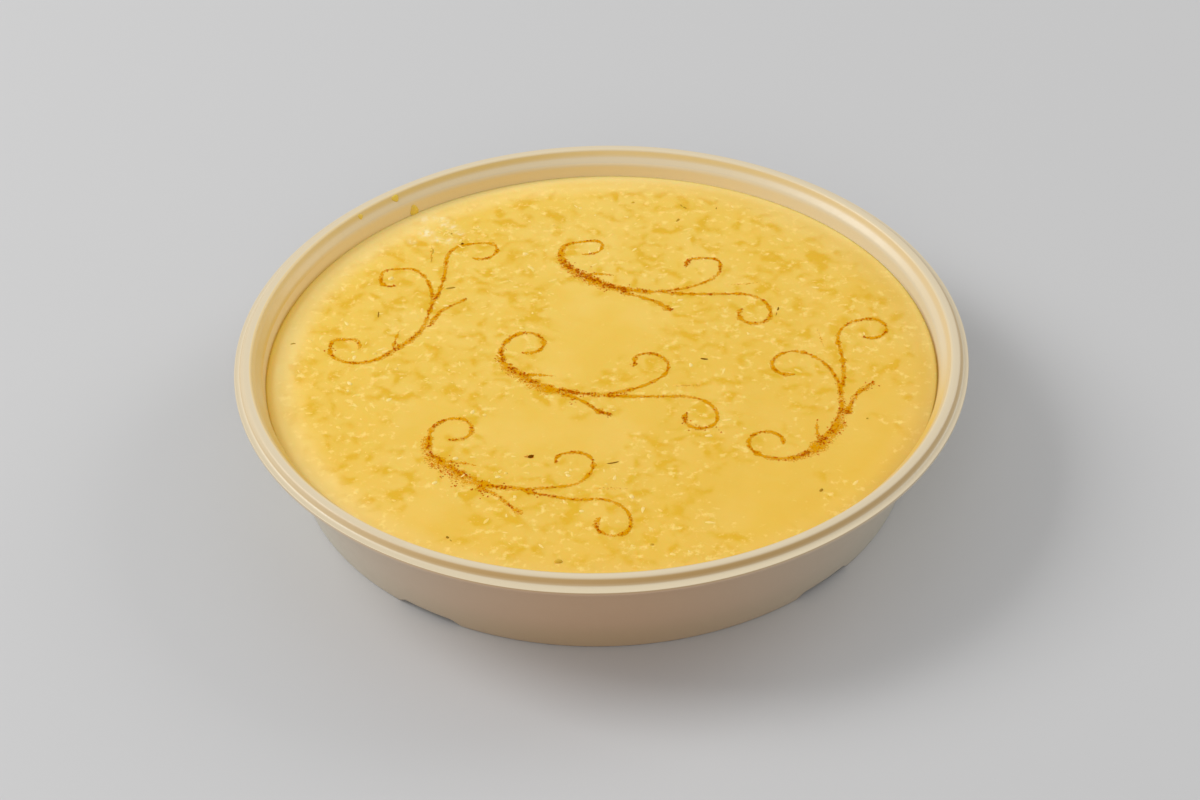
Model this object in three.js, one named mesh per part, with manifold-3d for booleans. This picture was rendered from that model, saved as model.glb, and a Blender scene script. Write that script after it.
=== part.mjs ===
// Rice pudding set in its round moulded bowl, with five cinnamon scrolls stencilled on top.
// Units are millimetres, +Z is up, and the origin is the centre of the bowl's foot on the table.

import * as THREE from 'three';
import * as BufferGeometryUtils from 'three/addons/utils/BufferGeometryUtils.js';
import Module from 'manifold-3d';

const wasm = await Module();
wasm.setup();

// ---- driving dimensions ----

const RIM_RADIUS = 115; // outer edge of the turned-down lip
const FLANGE_Z = 37.75; // top of the flat flange, above the table
const WALL = 1.0; // thickness of the moulded sheet
const LIP_DROP = 1.2; // how far the lip turns down below the flange
const LIP_EASE = 0.4;
const CREST_RISE = 1.8; // height of the raised ring inside the flange
const CREST_OUTER = 111.2; // edges of the ring's top
const CREST_INNER = 109.0;
const LEDGE_RADIUS = 108.3; // corner where the inside of the ring meets the wall
const SHOULDER_RADIUS = 106.0;
const SHOULDER_DROP = 2.0;

const FOOT_RADIUS = 96.65; // outer edge of the foot ring
const FOOT_WIDTH = 3.0;
const FOOT_EASE = 0.5; // small chamfer along the foot's outer edge
const FOOT_DRAFT = 0.6; // how much the ring narrows inwards from table to base
const BASE_RECESS = 2.6; // underside of the base, above the table
const NOTCH_FOOT_WIDTH = 22.0; // vents cut through the foot ring, at the table
const NOTCH_TOP_WIDTH = 16.9;
const NOTCH_HEIGHT = 2.3;
const NOTCH_AXIS = 94.4; // degrees: the four vents lie evenly to both sides of this line
const NOTCH_SPREAD = 38.2; // degrees from that line to a vent's middle

const FILL_DROP = 6.3; // pudding's surface, below the flange
const CONTACT_RADIUS = 104.4; // inside of the wall at the pudding's surface
const GAP = 0.3; // clearance between pudding and bowl
const MENISCUS = 0.5; // how far the pudding climbs at its edge
const FILL_Z = FLANGE_Z - FILL_DROP;

const SEGMENTS = 72; // round the axis, alike on bowl and pudding so that the gap is even

// ---- materials ----

const bowlMaterial = new THREE.MeshStandardMaterial({ color: 0xd9c8a6, roughness: 0.55, metalness: 0 });
const puddingMaterial = new THREE.MeshStandardMaterial({ color: 0xedc65c, roughness: 0.4, metalness: 0 });

// ---- small geometry helpers ----

const radians = THREE.MathUtils.degToRad;

// Turn a closed (radius, height) outline round the Z axis.
function turned(outline) {
  const points = outline.map(([radius, height]) => new THREE.Vector2(radius, height));
  return new THREE.LatheGeometry(points, SEGMENTS).rotateX(Math.PI / 2);
}

// A three.js geometry as a solid that can be joined and cut.
function solid(geometry) {
  const bare = geometry.clone();
  bare.deleteAttribute('normal');
  bare.deleteAttribute('uv');
  const merged = BufferGeometryUtils.mergeVertices(bare, 1e-4);
  return new wasm.Manifold(new wasm.Mesh({
    numProp: 3,
    vertProperties: new Float32Array(merged.attributes.position.array),
    triVerts: new Uint32Array(merged.index.array),
  }));
}

// The solid's surface back as a geometry.
function surface(body) {
  const mesh = body.getMesh();
  const geometry = new THREE.BufferGeometry();
  geometry.setAttribute('position', new THREE.BufferAttribute(mesh.vertProperties, 3));
  geometry.setIndex(new THREE.BufferAttribute(mesh.triVerts, 1));
  geometry.computeVertexNormals();
  return geometry;
}

// Repeatable random numbers from 0 to 1.
function seededRandom(seed) {
  let state = seed;
  return () => {
    state = (state + 0x6d2b79f5) | 0;
    let mixed = Math.imul(state ^ (state >>> 15), 1 | state);
    mixed = (mixed + Math.imul(mixed ^ (mixed >>> 7), 61 | mixed)) ^ mixed;
    return ((mixed ^ (mixed >>> 14)) >>> 0) / 4294967296;
  };
}

// ---- bowl: one thin moulded sheet with a stepped rim and a vented foot ring ----

// Radius of the inside of the wall at a height, on the straight run from floor to fill line.
const WALL_SLOPE = (CONTACT_RADIUS + WALL - FOOT_RADIUS) / FILL_Z;
const innerWallRadius = (height) => FOOT_RADIUS - WALL + WALL_SLOPE * height;
const outerWallRadius = (height) => innerWallRadius(height) + WALL;
const FLOOR_Z = BASE_RECESS + WALL;
const FLOOR_BEND = 3.0; // radius of the bend between floor and wall

function bowlOutline() {
  const shoulderZ = FLANGE_Z - SHOULDER_DROP;
  const crestZ = FLANGE_Z + CREST_RISE;
  const inside = [
    [0, FLOOR_Z],
    [innerWallRadius(FLOOR_Z) - FLOOR_BEND, FLOOR_Z],
    [innerWallRadius(FLOOR_Z + FLOOR_BEND * 0.3) - FLOOR_BEND * 0.3, FLOOR_Z + FLOOR_BEND * 0.3],
    [innerWallRadius(FLOOR_Z + FLOOR_BEND), FLOOR_Z + FLOOR_BEND],
    [CONTACT_RADIUS, FILL_Z],
    [SHOULDER_RADIUS, shoulderZ],
    [LEDGE_RADIUS, FLANGE_Z],
    [CREST_INNER, crestZ],
  ];
  const outside = [
    [CREST_OUTER, crestZ],
    [CREST_OUTER + 1, FLANGE_Z + 0.1],
    [RIM_RADIUS - LIP_EASE, FLANGE_Z],
    [RIM_RADIUS, FLANGE_Z - LIP_EASE],
    [RIM_RADIUS, FLANGE_Z - LIP_DROP],
    [RIM_RADIUS - WALL, FLANGE_Z - LIP_DROP],
    [CREST_OUTER + 0.3, FLANGE_Z - WALL],
    [CREST_OUTER - 0.7, crestZ - WALL],
    [CREST_INNER + 0.6, crestZ - WALL],
    [LEDGE_RADIUS + 0.7, FLANGE_Z - WALL],
    [SHOULDER_RADIUS + WALL, shoulderZ - 0.4],
    [CONTACT_RADIUS + WALL, FILL_Z],
    [outerWallRadius(FLOOR_Z), FLOOR_Z],
    [outerWallRadius(FOOT_EASE), FOOT_EASE],
    [FOOT_RADIUS - FOOT_EASE, 0],
    [FOOT_RADIUS - FOOT_WIDTH, 0],
    [FOOT_RADIUS - FOOT_WIDTH - FOOT_DRAFT, BASE_RECESS],
    [0, BASE_RECESS],
  ];
  return [...inside, ...outside].reverse();
}

// A wedge with sloped ends that clears one vent, laid radially across the foot ring.
function notchCutter(angle) {
  const below = 1; // the cutter starts under the foot
  const flare = (NOTCH_FOOT_WIDTH - NOTCH_TOP_WIDTH) / 2 / NOTCH_HEIGHT;
  const low = NOTCH_FOOT_WIDTH / 2 + flare * below;
  const high = NOTCH_TOP_WIDTH / 2;
  const outline = new THREE.Shape([
    new THREE.Vector2(-low, -below),
    new THREE.Vector2(low, -below),
    new THREE.Vector2(high, NOTCH_HEIGHT),
    new THREE.Vector2(-high, NOTCH_HEIGHT),
  ]);
  const clearance = 3; // past the ring's inner and outer faces
  const depth = FOOT_WIDTH + FOOT_DRAFT + 2 * clearance;
  return new THREE.ExtrudeGeometry(outline, { depth, bevelEnabled: false })
    .rotateX(Math.PI / 2)
    .translate(0, depth - clearance - FOOT_RADIUS, 0)
    .rotateZ(radians(angle + 90));
}

function bowlGeometry() {
  let body = solid(turned(bowlOutline()));
  for (const end of [0, 180]) {
    for (const side of [-1, 1]) {
      body = body.subtract(solid(notchCutter(NOTCH_AXIS + end + side * NOTCH_SPREAD)));
    }
  }
  return surface(body);
}

// ---- cinnamon scrolls: powder laid through one stencil in five places ----

// A strand starts at a point, heads off at an angle, and bends through arcs of [length, turn].
// Widths are spread evenly along it. The stencil's origin is where its two long strands part.
const STENCIL = [
  {
    start: [-31.5, 21.9], heading: -21,
    arcs: [[10.2, 116], [11.9, 121], [20.4, 102], [9.1, 0], [10.9, 25], [21.9, 34], [11.4, 32], [13.7, 108], [11.7, 127]],
    widths: [1.0, 1.3, 1.4, 2.2, 3.6, 3.2, 1.6, 1.2, 1.1, 1.1, 1.0, 1.5],
  },
  {
    start: [-6, -0.2], heading: -14.5,
    arcs: [[22.3, 18], [6.1, -25], [13.7, -76], [18.3, -206]],
    widths: [1.4, 1.3, 1.1, 1.1, 1.1, 1.5, 1.5],
  },
  { start: [-19, 0.2], heading: -24, arcs: [[12.4, -17], [6.5, 2]], widths: [2.6, 1.2, 1.4, 2.0] },
  { start: [-31, 10.6], heading: 4, arcs: [[10.3, -21]], widths: [1.0, 0.9, 0.8] },
];
// Where the stencil's origin lands and how far it is turned.
const SCROLLS = [
  { at: [-53.3, 41.2], turn: 86.8 },
  { at: [26.1, 38.2], turn: 0 },
  { at: [6.7, -14.6], turn: 0 },
  { at: [-19.2, -61.1], turn: -7.5 },
  { at: [74.1, -9.1], turn: 94.2 },
];
const POWDER_HEIGHT = 0.6;
const POWDER_SINK = 0.3; // how far a strand's body reaches into the pudding
const STRAND_STEP = 3.4; // longest straight stretch of a strand's crest

// Points along a strand, as [x, y, heading], evenly spaced along its length.
function strandStations(strand) {
  const total = strand.arcs.reduce((sum, [length]) => sum + length, 0);
  const steps = Math.round(total / STRAND_STEP);
  const step = total / steps;
  const stations = [];
  let [x, y] = strand.start;
  let heading = radians(strand.heading);
  let arc = 0;
  let left = strand.arcs[0][0];
  stations.push([x, y, heading]);
  for (let count = 1; count <= steps; count += 1) {
    let go = step;
    while (go > 1e-9) {
      const part = Math.min(go, left);
      const bend = radians(strand.arcs[arc][1]) * (part / strand.arcs[arc][0]);
      x += part * Math.cos(heading + bend / 2);
      y += part * Math.sin(heading + bend / 2);
      heading += bend;
      go -= part;
      left -= part;
      if (left < 1e-9 && arc < strand.arcs.length - 1) {
        arc += 1;
        left = strand.arcs[arc][0];
      } else if (left < 1e-9) {
        break;
      }
    }
    stations.push([x, y, heading]);
  }
  return stations;
}

// A value spread evenly along a list, at a fraction from 0 to 1.
function along(values, fraction) {
  const place = Math.min(Math.max(fraction, 0), 1) * (values.length - 1);
  const low = Math.min(Math.floor(place), values.length - 2);
  return THREE.MathUtils.lerp(values[low], values[low + 1], place - low);
}

// A three-sided rod bent along the strand: one edge is the crest and two lie in the pudding.
function strandGeometry(strand) {
  const stations = strandStations(strand);
  const steps = stations.length - 1;
  const rod = new THREE.CylinderGeometry(1, 1, 1, 3, steps);
  const position = rod.attributes.position;
  for (let index = 0; index < position.count; index += 1) {
    const fraction = 0.5 - position.getY(index);
    const [x, y, heading] = stations[Math.round(fraction * steps)];
    const atEnd = fraction < 0.01 || fraction > 0.99;
    const width = along(strand.widths, fraction) * (atEnd ? 0.6 : 1);
    const rise = POWDER_HEIGHT * (atEnd ? 0.5 : 1);
    const spread = (width / 2) * (rise + POWDER_SINK) / rise / Math.sin(Math.PI / 3);
    const across = position.getX(index) * spread;
    const height = FILL_Z + THREE.MathUtils.mapLinear(position.getZ(index), -0.5, 1, -POWDER_SINK, rise);
    position.setXYZ(index, x - across * Math.sin(heading), y + across * Math.cos(heading), height);
  }
  return rod;
}

// ---- rice pudding: set custard with grains showing through, and the scrolls on it ----

function puddingOutline() {
  const bottom = FLOOR_Z + GAP;
  const edgeZ = FILL_Z + MENISCUS;
  return [
    [0, bottom],
    [innerWallRadius(bottom) - FLOOR_BEND - GAP, bottom],
    [innerWallRadius(FLOOR_Z + FLOOR_BEND) - GAP * 2, FLOOR_Z + FLOOR_BEND + GAP],
    [innerWallRadius(edgeZ) - GAP * 1.2, edgeZ],
    [innerWallRadius(edgeZ) - 2.5, FILL_Z + 0.1],
    [innerWallRadius(edgeZ) - 5, FILL_Z],
    [0, FILL_Z],
  ];
}

const GRAIN_COUNT = 190;
const GRAIN_LENGTH = [5.0, 7.0];
const GRAIN_WIDTH = [2.4, 3.2];
const GRAIN_PROUD = [0.4, 0.8]; // how far a grain's back stands above the custard
const GRAIN_SPACING = 5.6;
const GRAIN_REACH = CONTACT_RADIUS - 6;
const STRAND_CLEARANCE = 4.2;
// Places where plain custard covers the rice, as [x, y, radius].
const SMOOTH_PATCHES = [
  [0, 21, 15],
  [-24, 8, 12],
  [-49, -32, 13],
  [20, -2, 8],
];

// One cooked grain: a six-sided bead lying in the surface.
function grainGeometry(length, width, proud, x, y, yaw, pitch) {
  return new THREE.SphereGeometry(1, 6, 4)
    .rotateZ(Math.PI / 2)
    .rotateX(Math.PI / 6)
    .scale(length / 2, width / 2, width / 2)
    .rotateY(pitch)
    .rotateZ(yaw)
    .translate(x, y, FILL_Z + proud - width / 2);
}

// Grains drawn one by one, each kept if it is clear of the others, the scrolls and the smooth places.
function grainPlaces(strandPoints) {
  const random = seededRandom(1729);
  const pick = ([low, high]) => THREE.MathUtils.lerp(low, high, random());
  const apart = (a, b) => Math.hypot(a[0] - b[0], a[1] - b[1]);
  const places = [];
  while (places.length < GRAIN_COUNT) {
    const radius = GRAIN_REACH * Math.sqrt(random());
    const bearing = 2 * Math.PI * random();
    const here = [radius * Math.cos(bearing), radius * Math.sin(bearing)];
    const size = [pick(GRAIN_LENGTH), pick(GRAIN_WIDTH), pick(GRAIN_PROUD)];
    const lie = [Math.PI * random(), radians(6) * (random() - 0.5)];
    const crowded = places.some((other) => apart(other.here, here) < GRAIN_SPACING);
    const dusted = strandPoints.some((point) => apart(point, here) < STRAND_CLEARANCE);
    const covered = SMOOTH_PATCHES.some((patch) => apart(patch, here) < patch[2]);
    if (!crowded && !dusted && !covered) places.push({ here, size, lie });
  }
  return places;
}

function puddingGeometry() {
  const bodies = [solid(turned(puddingOutline()))];
  const strandPoints = [];
  for (const { at, turn } of SCROLLS) {
    const centre = new THREE.Vector2(0, 0);
    for (const strand of STENCIL) {
      bodies.push(solid(strandGeometry(strand).rotateZ(radians(turn)).translate(at[0], at[1], 0)));
      for (const [x, y] of strandStations(strand)) {
        const point = new THREE.Vector2(x, y).rotateAround(centre, radians(turn));
        strandPoints.push([point.x + at[0], point.y + at[1]]);
      }
    }
  }
  for (const { here, size, lie } of grainPlaces(strandPoints)) {
    bodies.push(solid(grainGeometry(...size, ...here, ...lie)));
  }
  return surface(bodies.reduce((whole, body) => whole.add(body)));
}

// ---- the filled bowl ----

const bowl = new THREE.Mesh(bowlGeometry(), bowlMaterial);
bowl.name = 'bowl';

const pudding = new THREE.Mesh(puddingGeometry(), puddingMaterial);
pudding.name = 'rice_pudding';

const filledBowl = new THREE.Group();
filledBowl.add(bowl, pudding);

export default filledBowl;
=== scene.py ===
import math

import bpy
import numpy as np
from mathutils import Matrix, Vector


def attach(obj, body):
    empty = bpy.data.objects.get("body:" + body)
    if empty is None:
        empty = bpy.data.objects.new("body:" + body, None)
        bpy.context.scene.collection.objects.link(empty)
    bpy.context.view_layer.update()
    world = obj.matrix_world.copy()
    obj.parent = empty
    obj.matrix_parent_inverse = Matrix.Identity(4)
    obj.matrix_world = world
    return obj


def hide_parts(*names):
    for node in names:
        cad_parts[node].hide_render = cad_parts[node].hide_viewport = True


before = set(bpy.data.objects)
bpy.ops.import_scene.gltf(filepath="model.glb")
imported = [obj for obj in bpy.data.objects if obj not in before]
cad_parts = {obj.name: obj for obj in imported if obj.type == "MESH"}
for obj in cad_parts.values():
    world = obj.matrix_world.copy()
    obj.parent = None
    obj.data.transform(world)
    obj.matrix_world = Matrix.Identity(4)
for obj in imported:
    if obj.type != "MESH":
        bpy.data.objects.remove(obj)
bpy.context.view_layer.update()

# ---- the view ----
# A long lens a metre off, looking down at the filled bowl from its front at a little under 40 degrees,
# and tipped by a degree and a half.

VIEW_LENS_MM = 96.0
VIEW_SENSOR_MM = 36.0
VIEW_PLACE = Vector((-0.00067, -0.79757, 0.64475))
VIEW_DOWN = math.radians(38.19)
VIEW_TIP = math.radians(1.47)

view = bpy.data.objects.new("view", bpy.data.cameras.new("view"))
view.data.lens = VIEW_LENS_MM
view.data.sensor_width = VIEW_SENSOR_MM
view.data.clip_start = 0.05
view.matrix_world = (
    Matrix.Translation(VIEW_PLACE)
    @ Matrix.Rotation(math.pi / 2 - VIEW_DOWN, 4, "X")
    @ Matrix.Rotation(-VIEW_TIP, 4, "Z")
)
bpy.context.scene.collection.objects.link(view)
bpy.context.scene.camera = view
bpy.context.scene.view_settings.view_transform = "Standard"

# ---- the bowl ----
# A low round bowl pressed from cream plant fibre as one thin sheet: a flat flange with a turned-down lip,
# a raised ring that a lid grips, a plain sloping wall, and a foot ring with four low vents pressed into it.

MM = 0.001
RIM_RADIUS = 114.6 * MM
FLANGE_Z = 37.75 * MM
LIP_DROP = 1.2 * MM
CREST_Z = FLANGE_Z + 1.8 * MM
CREST_OUTER = 111.95 * MM
CREST_INNER = 109.3 * MM
SHOULDER_Z = 35.75 * MM
SHEET = 0.8 * MM
FOOT_RADIUS = 96.65 * MM
FOOT_WIDTH = 3.0 * MM
BASE_Z = 2.6 * MM
FLOOR_Z = BASE_Z + SHEET
FILL_Z = FLANGE_Z - 6.3 * MM
CONTACT_Z = FILL_Z + 0.05 * MM
CONTACT_RADIUS = 105.3 * MM
WALL_SLOPE = (CONTACT_RADIUS + SHEET - FOOT_RADIUS) / FILL_Z
RING_LEAN = 1.2 * MM
LIP_SHIFT = 0.4 * MM
BOWL_STEPS = 480

VENT_FOOT_WIDTH = 22.0 * MM
VENT_TOP_WIDTH = 16.9 * MM
VENT_HEIGHT = 2.3 * MM
VENT_ANGLES = np.radians([56.2, 132.6, 236.2, 312.6])


def inner_wall(height):
    """Inside radius of the wall: the foot's radius less the sheet, plus slope times height."""
    return FOOT_RADIUS - SHEET + WALL_SLOPE * height


# The outline runs from under the base's middle up the outside, over the rim and down to the floor's middle.
# Each corner of it is (radius, height, ease, steps): ease is how far from the corner its rounding starts,
# and steps is how many pieces the straight run to the next corner is cut into.
BOWL_CORNERS = [
    (0.0, BASE_Z, 0.0, 3),
    (FOOT_RADIUS - FOOT_WIDTH - 0.6 * MM, BASE_Z, 0.4 * MM, 3),
    (FOOT_RADIUS - FOOT_WIDTH, 0.0, 0.4 * MM, 2),
    (FOOT_RADIUS, 0.0, 0.9 * MM, 8),
    (inner_wall(FILL_Z) + SHEET, FILL_Z, 1.0 * MM, 2),
    (107.0 * MM, FLANGE_Z - 2.4 * MM, 1.0 * MM, 2),
    (109.2 * MM, FLANGE_Z - 1.0 * MM, 0.7 * MM, 1),
    (109.9 * MM, FLANGE_Z + 0.8 * MM, 0.4 * MM, 1),
    (110.9 * MM, FLANGE_Z + 0.8 * MM, 0.4 * MM, 1),
    (111.9 * MM, FLANGE_Z - SHEET, 0.5 * MM, 1),
    (RIM_RADIUS - SHEET, FLANGE_Z - SHEET, 0.15 * MM, 1),
    (RIM_RADIUS - SHEET, FLANGE_Z - LIP_DROP, 0.05 * MM, 1),
    (RIM_RADIUS, FLANGE_Z - LIP_DROP, 0.3 * MM, 1),
    (RIM_RADIUS, FLANGE_Z + 0.02 * MM, 0.38 * MM, 1),
    (RIM_RADIUS - 0.75 * MM, FLANGE_Z - 0.12 * MM, 0.35 * MM, 1),
    (113.05 * MM, FLANGE_Z, 0.4 * MM, 2),
    (CREST_OUTER, CREST_Z, 0.6 * MM, 2),
    (CREST_INNER, CREST_Z, 0.6 * MM, 2),
    (108.2 * MM, FLANGE_Z, 0.6 * MM, 3),
    (106.1 * MM, SHOULDER_Z, 1.0 * MM, 12),
    (CONTACT_RADIUS, FILL_Z, 0.5 * MM, 8),
    (inner_wall(FLOOR_Z), FLOOR_Z, 3.0 * MM, 2),
    (0.0, FLOOR_Z, 0.0, 1),
]


def eased_outline(corners, bend=5):
    """Each corner becomes a parabola that leaves one side and meets the other at equal distance from the
    corner; the straight runs between are cut evenly."""
    points = [np.array([corners[0][:2]])]
    for index in range(1, len(corners)):
        here = np.array(corners[index][:2])
        before = np.array(corners[index - 1][:2])
        ease = corners[index][2]
        start = here + (before - here) / np.linalg.norm(before - here) * ease
        run = np.linspace(points[-1][-1], start, corners[index - 1][3] + 1)[1:]
        points.append(run)
        if index < len(corners) - 1:
            after = np.array(corners[index + 1][:2])
            end = here + (after - here) / np.linalg.norm(after - here) * ease
            t = np.linspace(0, 1, bend + 1)[1:, None]
            points.append((1 - t) ** 2 * start + 2 * t * (1 - t) * here + t**2 * end)
    return np.concatenate(points)


def new_piece(name, vertices, faces, smooth=True):
    """A mesh object at the frame's origin, from an array of points and a list of the faces' corners."""
    mesh = bpy.data.meshes.new(name)
    mesh.from_pydata(vertices.tolist(), [], faces)
    mesh.polygons.foreach_set("use_smooth", np.full(len(mesh.polygons), smooth))
    mesh.update()
    piece = bpy.data.objects.new(name, mesh)
    bpy.context.scene.collection.objects.link(piece)
    return piece


def paint_points(piece, name, values):
    """One number for each point of a piece, which its material reads by name."""
    attribute = piece.data.attributes.new(name, "FLOAT", "POINT")
    attribute.data.foreach_set("value", np.asarray(values, np.float32).ravel())


def grid_faces(rows, columns, closed, first=0):
    """Quads between neighbouring rows and columns of points that are numbered row by row. In a closed
    grid the last column joins the first."""
    row, column = np.meshgrid(np.arange(rows - 1), np.arange(columns - (not closed)), indexing="ij")
    beside = (column + 1) % columns
    quads = np.stack([row * columns + column, row * columns + beside,
                      (row + 1) * columns + beside, (row + 1) * columns + column], -1)
    return (quads.reshape(-1, 4) + first).tolist()


def vent_lift(angle):
    """Height of the vents at an angle: full over each vent's top, falling evenly to nothing at its foot."""
    away = np.abs((angle[:, None] - VENT_ANGLES + np.pi) % (2 * np.pi) - np.pi) * FOOT_RADIUS
    ramp = (VENT_FOOT_WIDTH / 2 - away) / ((VENT_FOOT_WIDTH - VENT_TOP_WIDTH) / 2)
    return VENT_HEIGHT * np.clip(ramp, 0, 1).max(1)


def bowl_points(outline, angle):
    """The outline turned round Z. Over the foot ring, points rise by the vent's lift times the share of
    the way up to the floor that they have left, and on the wall they slide out along it as they rise. Above
    the shoulder they lean in by the ring's lean, times the fourth power of the cosine of the angle from the
    front, times the lesser of two shares: how far up to the crest they are, and one that falls from 1 to 0
    between 2.7 and 0.5 mm inside the rim. The rim's last millimetre shifts to the front."""
    radius = outline[:, 0][:, None]
    height = outline[:, 1][:, None]
    to_floor = np.clip(1 - height / FLOOR_Z, 0, 1)
    on_foot = radius > FOOT_RADIUS - FOOT_WIDTH - 0.3 * MM
    rise = vent_lift(angle)[None, :] * (to_floor * on_foot)
    on_wall = radius > FOOT_RADIUS - 0.8 * MM
    spread = radius + rise * WALL_SLOPE * on_wall
    front = np.clip(np.cos(angle + math.pi / 2), 0, 1) ** 4
    up_ring = np.clip((height - SHOULDER_Z) / (CREST_Z - SHOULDER_Z), 0, 1)
    off_lip = np.clip((RIM_RADIUS - 0.5 * MM - radius) / (2.2 * MM), 0, 1)
    spread = spread - RING_LEAN * front * np.minimum(up_ring, off_lip)
    on_lip = np.clip((radius - RIM_RADIUS + 1.12 * MM) / (0.7 * MM), 0, 1)
    x = spread * np.cos(angle)
    y = spread * np.sin(angle) - LIP_SHIFT * on_lip
    return np.stack([x, y, height + rise], -1)


bowl_angle = np.arange(BOWL_STEPS) * 2 * np.pi / BOWL_STEPS
bowl_outline = eased_outline(BOWL_CORNERS)
bowl_rings = bowl_points(bowl_outline[1:-1], bowl_angle)
ring_count = len(bowl_rings)
bowl_vertices = np.concatenate([
    bowl_rings.reshape(-1, 3),
    [[0, 0, BASE_Z], [0, 0, FLOOR_Z]],
])
base_pole = ring_count * BOWL_STEPS
floor_pole = base_pole + 1
around = np.arange(BOWL_STEPS)
beside = (around + 1) % BOWL_STEPS
last_ring = (ring_count - 1) * BOWL_STEPS
base_fan = np.stack([beside, around, np.full(BOWL_STEPS, base_pole)], -1)
floor_fan = np.stack([last_ring + around, last_ring + beside, np.full(BOWL_STEPS, floor_pole)], -1)
bowl_faces = grid_faces(ring_count, BOWL_STEPS, closed=True) + base_fan.tolist() + floor_fan.tolist()
bowl = new_piece("bowl_shell", bowl_vertices, bowl_faces)


class Wire:
    """An output of a shader node. Arithmetic on it adds Math nodes to the same material."""

    def __init__(self, socket):
        self.socket = socket

    def math(self, operation, *values):
        return add_node(self.socket.id_data, "Math", {"operation": operation}, dict(enumerate(values)))

    def __add__(self, other):
        return self.math("ADD", self, other)

    def __mul__(self, other):
        return self.math("MULTIPLY", self, other)

    def __sub__(self, other):
        return self.math("SUBTRACT", self, other)

    def __rsub__(self, other):
        return self.math("SUBTRACT", other, self)

    __radd__ = __add__
    __rmul__ = __mul__


def add_node(tree, kind, settings, inputs, output=0):
    """Adds a shader node: first its settings, of which a ramp's stops are pairs of a place and a colour,
    then a value or a link for each input that is named."""
    node = tree.nodes.new("ShaderNode" + kind)
    for name, value in settings.items():
        if name == "stops":
            while len(node.color_ramp.elements) < len(value):
                node.color_ramp.elements.new(1.0)
            for element, (place, colour) in zip(node.color_ramp.elements, value):
                element.position = place
                element.color = (*colour, 1.0)
        else:
            setattr(node, name, value)
    for name, value in inputs.items():
        if isinstance(value, Wire):
            tree.links.new(value.socket, node.inputs[name])
        else:
            node.inputs[name].default_value = value
    return Wire(node.outputs[output])


class Finish:
    """A material on one Principled shader. Constants go straight onto its sockets."""

    def __init__(self, name, **constants):
        self.material = bpy.data.materials.new(name)
        self.material.use_nodes = True
        self.tree = self.material.node_tree
        self.shader = self.tree.nodes["Principled BSDF"]
        for socket, value in constants.items():
            self.shader.inputs[socket.replace("_", " ")].default_value = value
        self.place = self.node("TexCoord", output=3)

    def node(self, kind, settings=None, inputs=None, output=0):
        return add_node(self.tree, kind, settings or {}, inputs or {}, output)

    def attribute(self, name):
        return self.node("Attribute", {"attribute_name": name}, output=2)

    def noise(self, size, detail=2.0, roughness=0.5):
        """Even noise from 0 to 1 whose lumps are about `size` metres across."""
        settings = {"noise_dimensions": "3D"}
        inputs = {"Vector": self.place, "Scale": 1 / size, "Detail": detail, "Roughness": roughness}
        return self.node("TexNoise", settings, inputs)

    def between(self, value, low, high):
        """0 below `low` and 1 above `high`, with a soft step between."""
        settings = {"interpolation_type": "SMOOTHSTEP"}
        return self.node("MapRange", settings, {"Value": value, "From Min": low, "From Max": high})

    def mix(self, factor, first, second):
        """First colour where the factor is 0, second where it is 1."""
        return self.node("Mix", {"data_type": "RGBA"}, {0: factor, 6: first, 7: second}, output=2)

    def bump(self, height, distance):
        return self.node("Bump", {}, {"Height": height, "Distance": distance})

    def feed(self, socket, value):
        self.tree.links.new(value.socket, self.shader.inputs[socket])

    def on(self, piece):
        piece.data.materials.append(self.material)


# The faces that look up are painted a pale cream as painted light, and the steep ones are tan, warmest at
# the front, where the wall darkens towards the foot; away from the front the tan is painted paler and greyer
# as a painted sheen, and the ring's steep faces are painted darker as painted shade. The inside is painted
# custard yellow as light bounced up from the custard, most at the back and left. The inside of the ring at
# the back is golden, partly custard dried there and partly painted shade and bounce. Custard left a golden
# film at the left and at the front's two sides, and a dark line is painted as the shadow of the gap where
# its skin meets the wall at the left and the right.
LIT_CREAM = (0.74, 0.63, 0.44, 1.0)
FRONT_TAN = (0.615, 0.405, 0.25, 1.0)
LOW_TAN = (0.56, 0.385, 0.222, 1.0)
SIDE_SHEEN_TAN = (0.61, 0.56, 0.45, 1.0)
GROOVE_SHADE = (0.50, 0.305, 0.105, 1.0)
SIDE_GROOVE_SHADE = (0.59, 0.42, 0.20, 1.0)
BOUNCE_CREAM = (0.86, 0.65, 0.31, 1.0)
DROP_GOLD_AND_SHADE = (0.79, 0.54, 0.115, 1.0)
FILM_GOLD = (0.77, 0.485, 0.075, 1.0)
GAP_SHADOW_BROWN = (0.33, 0.15, 0.003, 1.0)

# Stretches round the bowl: (bearing of the middle, reach to either side), in degrees from +X towards +Y.
FRONT = (268, 75)
PALE_RING = (185, 75)
TAN_RING = (275, 75)
TAN_WALL = (20, 65)
BOUNCE_WALL = (140, 150)
BOUNCE_RING = (175, 90)
DIM_UPPER_WALL = (80, 85)
GOLDEN_RING = (108, 120)
FRONT_LEFT_FILM = (208, 34)
FRONT_RIGHT_FILM = (334, 28)
LEFT_FILM = (172, 38)
SKIN_FILM = (176, 62)
LEFT_GAP_SHADOW = (170, 45)
RIGHT_GAP_SHADOW = (352, 40)
TALL_GAP_SHADOW = (346, 18)


def smooth_step(value, low, high):
    """0 below low, 1 above high, and 3t^2 - 2t^3 between."""
    t = np.clip((value - low) / (high - low), 0, 1)
    return t * t * (3 - 2 * t)


def toward(angle, middle, reach):
    """1 at the middle angle, falling as a cosine's square to 0 at `reach` degrees to either side."""
    off = (np.degrees(angle) - middle + 180) % 360 - 180
    return np.cos(np.clip(off / reach, -1, 1) * math.pi / 2) ** 2


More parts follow.
